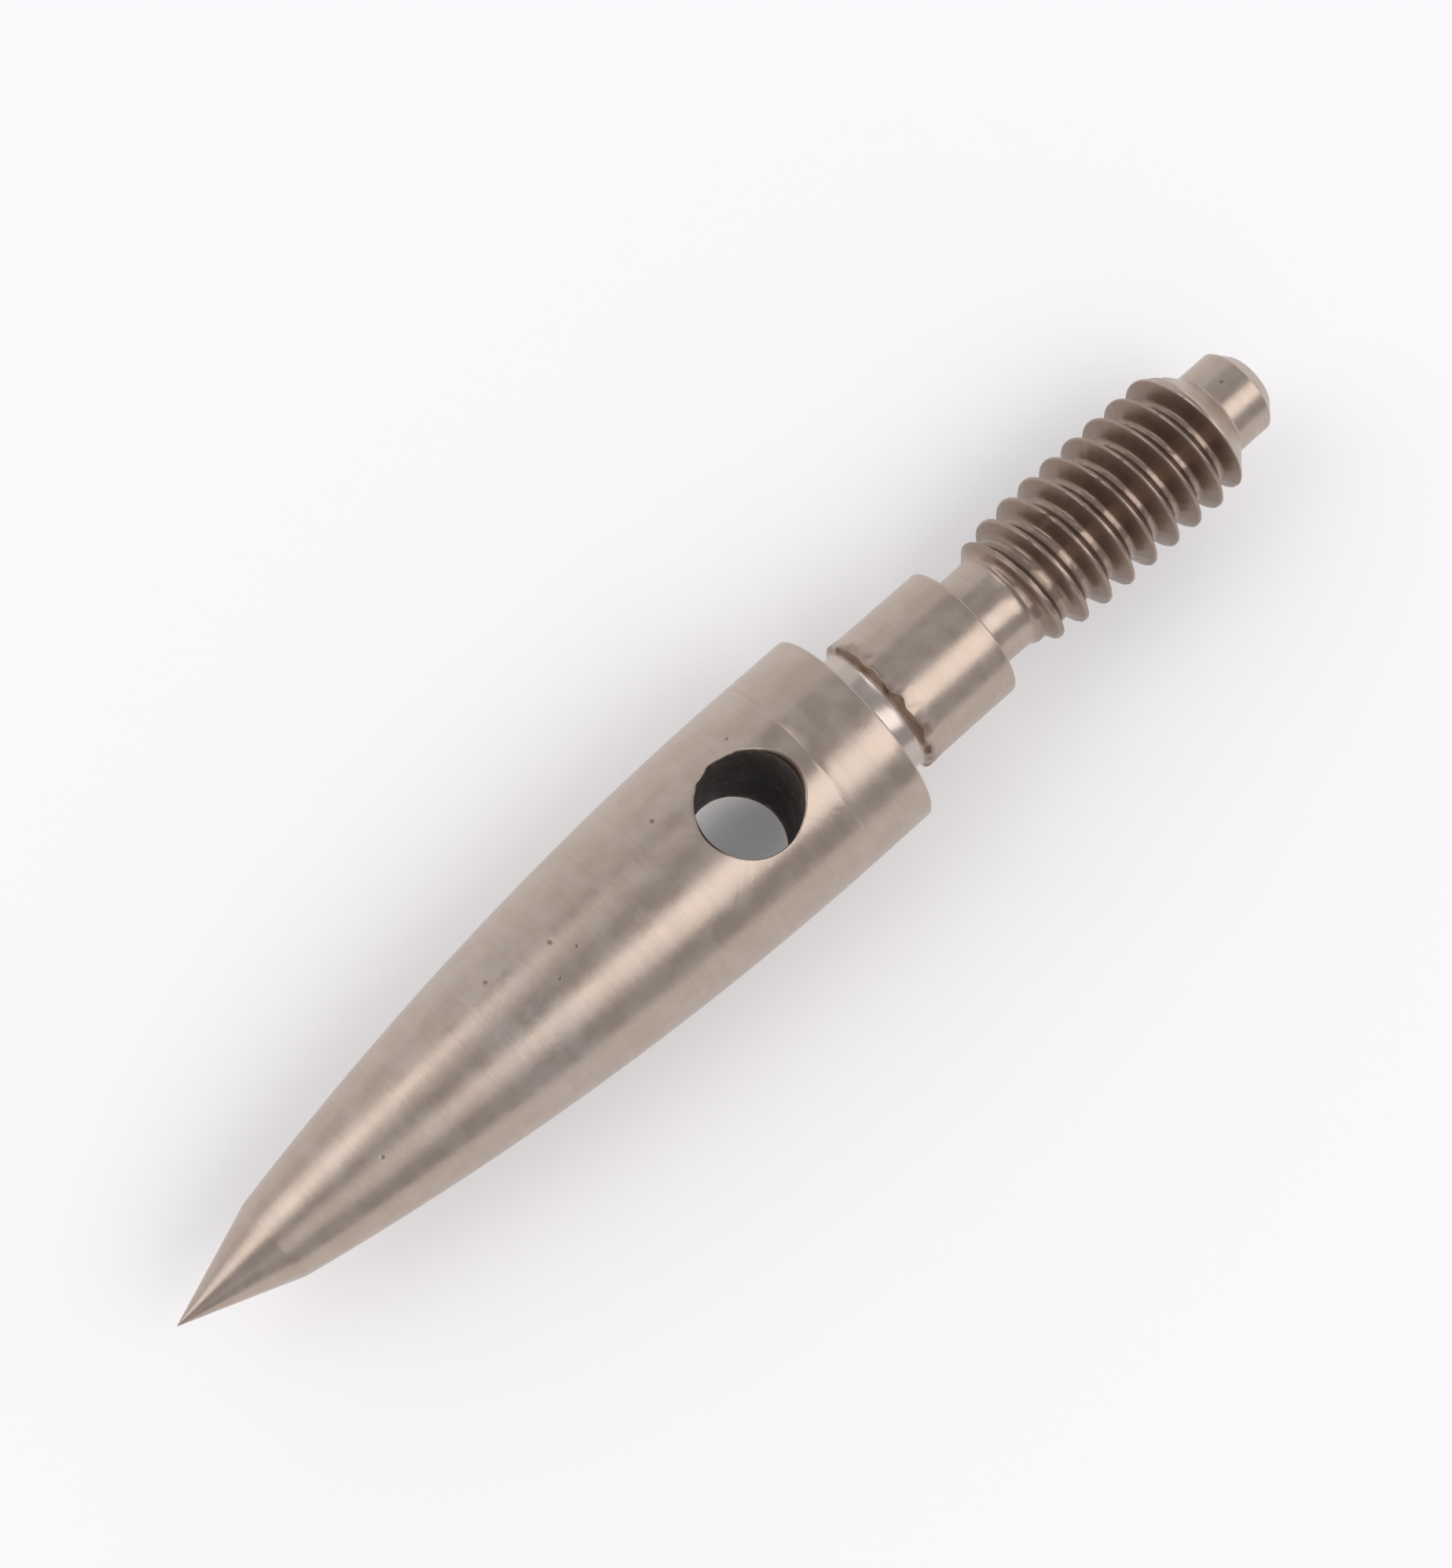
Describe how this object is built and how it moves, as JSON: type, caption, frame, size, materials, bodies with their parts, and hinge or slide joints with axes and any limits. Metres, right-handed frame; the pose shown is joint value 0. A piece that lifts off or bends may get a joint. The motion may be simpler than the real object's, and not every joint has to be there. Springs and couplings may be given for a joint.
{
  "type": "screw-in centre point",
  "caption": "Turned steel point for a live centre: ground cone on a curved nose, cross hole for a tommy bar, shoulder, register and threaded tail with a dog point.",
  "frame": {"origin": "middle of the shoulder face, where the head seats on the spindle nose", "axes": "+X along the bar from the tip towards the threaded tail, +Z along the tommy-bar hole, +Y across the bar"},
  "size_m": [0.0579, 0.0092, 0.0092],
  "materials": {
    "steel": "satin, fine turned lines"
  },
  "bodies": {
    "root": {"center_point": "steel"}
  },
  "joints": []
}
